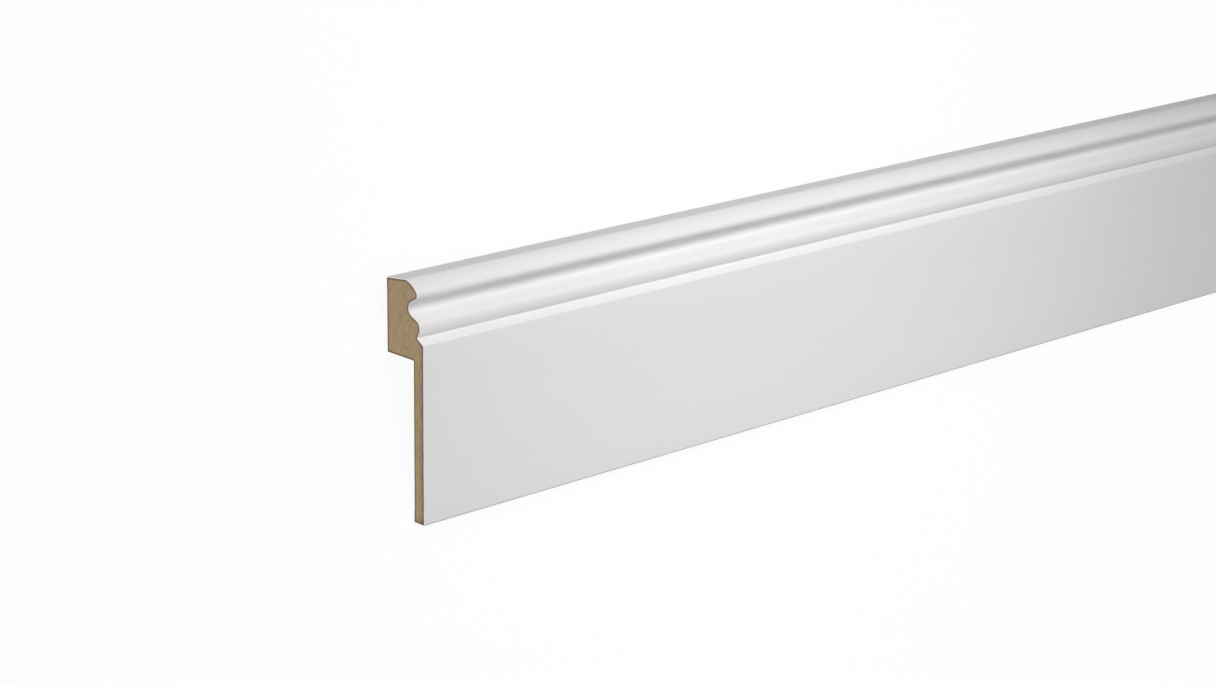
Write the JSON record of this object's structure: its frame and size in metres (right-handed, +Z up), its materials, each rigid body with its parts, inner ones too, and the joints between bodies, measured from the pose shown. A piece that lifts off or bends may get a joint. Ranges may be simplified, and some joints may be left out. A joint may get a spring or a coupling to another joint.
{
  "type": "cover strip",
  "caption": "Moulded skirting cover strip: a thick ogee head with a rebate behind a thin hanging face plate, foil-wrapped board, bare cut ends.",
  "frame": {"origin": "middle of the strip's length and of its lying footprint, on the floor it lies on", "axes": "+X along the length, towards the far end; +Y across the lying strip, from the foot to the top edge; +Z up, out of the face side. The strip lies tipped back 13.6 degrees about X, on the rear edges of its head and of its plate"},
  "size_m": [2.4, 0.1112, 0.0274],
  "materials": {
    "foil_wrapped_mdf": "satin white decor foil on medium density fibreboard, with bare brown board at the cut ends and in the rebate"
  },
  "bodies": {
    "root": {"cover_strip": "foil_wrapped_mdf"}
  },
  "joints": []
}
